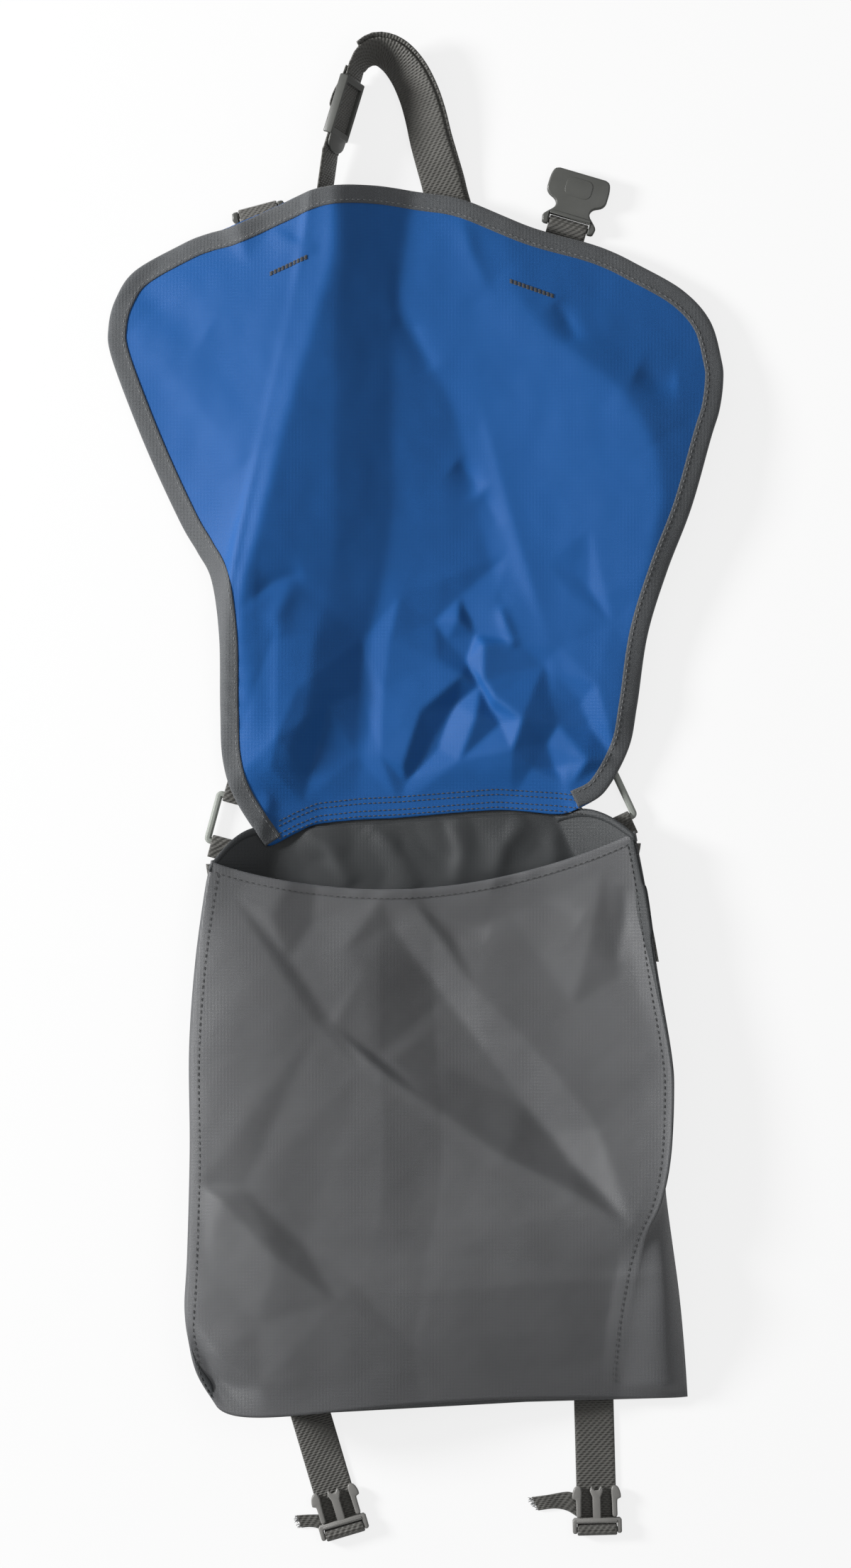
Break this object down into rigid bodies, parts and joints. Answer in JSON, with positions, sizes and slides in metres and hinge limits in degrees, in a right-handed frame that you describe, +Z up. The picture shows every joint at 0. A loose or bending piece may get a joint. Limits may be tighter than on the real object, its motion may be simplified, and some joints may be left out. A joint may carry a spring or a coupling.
{
  "type": "messenger bag",
  "caption": "Soft messenger bag lying open on its back: lined flap with bound edge, webbing shoulder strap on rings, and side-release buckles on closure straps.",
  "frame": {"origin": "centre of the footprint of the bag as it lies open, on the surface it lies on", "axes": "+Z up out of the front panel, +Y towards the tip of the open flap and the strap's loop, -Y towards the closure straps, +X to the right"},
  "size_m": [0.3874, 0.949, 0.0391],
  "materials": {
    "cloth_black": "woven",
    "flap_blue": "satin coated weave",
    "binding_tape": "ribbed tape",
    "webbing": "woven webbing",
    "black_plastic": "moulded",
    "grey_plastic": "moulded"
  },
  "bodies": {
    "bag": {"back_panel": "cloth_black", "front_panel": "cloth_black", "front_hem": "cloth_black", "left_gusset": "cloth_black", "right_gusset": "cloth_black", "bottom_panel": "cloth_black", "left_ring_tab": "webbing", "right_ring_tab": "webbing"},
    "flap": {"flap_shell": "flap_blue", "flap_lining": "cloth_black", "flap_binding": "binding_tape", "left_buckle_tab": "webbing", "right_buckle_tab": "webbing"},
    "strap": {"shoulder_strap": "webbing", "strap_return": "webbing", "left_strap_end": "webbing", "right_strap_end": "webbing", "left_ring": "grey_plastic", "right_ring": "grey_plastic", "left_ring_loop": "webbing", "right_ring_loop": "webbing"},
    "adjuster": {"strap_adjuster": "black_plastic"},
    "left_socket": {"left_female_buckle": "black_plastic"},
    "right_socket": {"right_female_buckle": "black_plastic"},
    "left_closure": {"left_closure_strap": "webbing", "left_strap_tail": "webbing"},
    "right_closure": {"right_closure_strap": "webbing", "right_strap_tail": "webbing"},
    "left_tongue": {"left_male_buckle": "black_plastic"},
    "right_tongue": {"right_male_buckle": "black_plastic"},
    "left_prong_a": {"left_male_prong_a": "black_plastic"},
    "left_prong_b": {"left_male_prong_b": "black_plastic"},
    "right_prong_a": {"right_male_prong_a": "black_plastic"},
    "right_prong_b": {"right_male_prong_b": "black_plastic"}
  },
  "joints": [
    {"name": "flap_fold", "type": "hinge", "parent": "bag", "child": "flap", "pos_m": [0.004, -0.018, 0.02], "axis": [0.9986, 0.0523, 0], "range_deg": [0, 170]},
    {"name": "strap_swing", "type": "hinge", "parent": "bag", "child": "strap", "pos_m": [0.00505, -0.03797, 0.0041], "axis": [0.9986, 0.0523, 0], "range_deg": [-90, 0]},
    {"name": "adjuster_slide", "type": "slide", "parent": "strap", "child": "adjuster", "axis": [0.2922, 0.9564, 0], "range_m": [-0.008, 0.004]},
    {"name": "left_buckle_swing", "type": "hinge", "parent": "flap", "child": "left_socket", "pos_m": [-0.0989, 0.3656, 0.0043], "axis": [0.9664, 0.2571, 0], "range_deg": [0, 185]},
    {"name": "right_buckle_swing", "type": "hinge", "parent": "flap", "child": "right_socket", "pos_m": [0.0963, 0.3563, 0.0048], "axis": [0.9593, -0.2823, 0], "range_deg": [-85, 85]},
    {"name": "left_closure_fold", "type": "hinge", "parent": "bag", "child": "left_closure", "pos_m": [-0.0667, -0.39196, 0.0008], "axis": [1, 0, 0], "range_deg": [-90, 0]},
    {"name": "right_closure_fold", "type": "hinge", "parent": "bag", "child": "right_closure", "pos_m": [0.1127, -0.38398, 0.0008], "axis": [1, 0, 0], "range_deg": [-90, 0]},
    {"name": "left_male_flip", "type": "hinge", "parent": "left_closure", "child": "left_tongue", "pos_m": [-0.04441, -0.46723, 0.00371], "axis": [0.9588, 0.284, 0], "range_deg": [0, 180]},
    {"name": "right_male_flip", "type": "hinge", "parent": "right_closure", "child": "right_tongue", "pos_m": [0.11486, -0.46645, 0.00371], "axis": [0.9997, 0.0262, 0], "range_deg": [0, 180]},
    {"name": "left_prong_a_flex", "type": "hinge", "parent": "left_tongue", "child": "left_prong_a", "pos_m": [-0.05803, -0.46136, 0.0044], "axis": [0, 0, 1], "range_deg": [-7, 7], "stiffness_Nm_per_rad": 0.02},
    {"name": "left_prong_b_flex", "type": "hinge", "parent": "left_tongue", "child": "left_prong_b", "pos_m": [-0.03617, -0.45488, 0.0044], "axis": [0, 0, 1], "range_deg": [-7, 7], "stiffness_Nm_per_rad": 0.02},
    {"name": "right_prong_a_flex", "type": "hinge", "parent": "right_tongue", "child": "right_prong_a", "pos_m": [0.10322, -0.45726, 0.0044], "axis": [0, 0, 1], "range_deg": [-7, 7], "stiffness_Nm_per_rad": 0.02},
    {"name": "right_prong_b_flex", "type": "hinge", "parent": "right_tongue", "child": "right_prong_b", "pos_m": [0.12601, -0.45666, 0.0044], "axis": [0, 0, 1], "range_deg": [-7, 7], "stiffness_Nm_per_rad": 0.02}
  ],
  "couplings": [
    {"joint": "left_prong_b_flex", "follows": "left_prong_a_flex", "ratio": -1},
    {"joint": "right_prong_b_flex", "follows": "right_prong_a_flex", "ratio": -1}
  ]
}
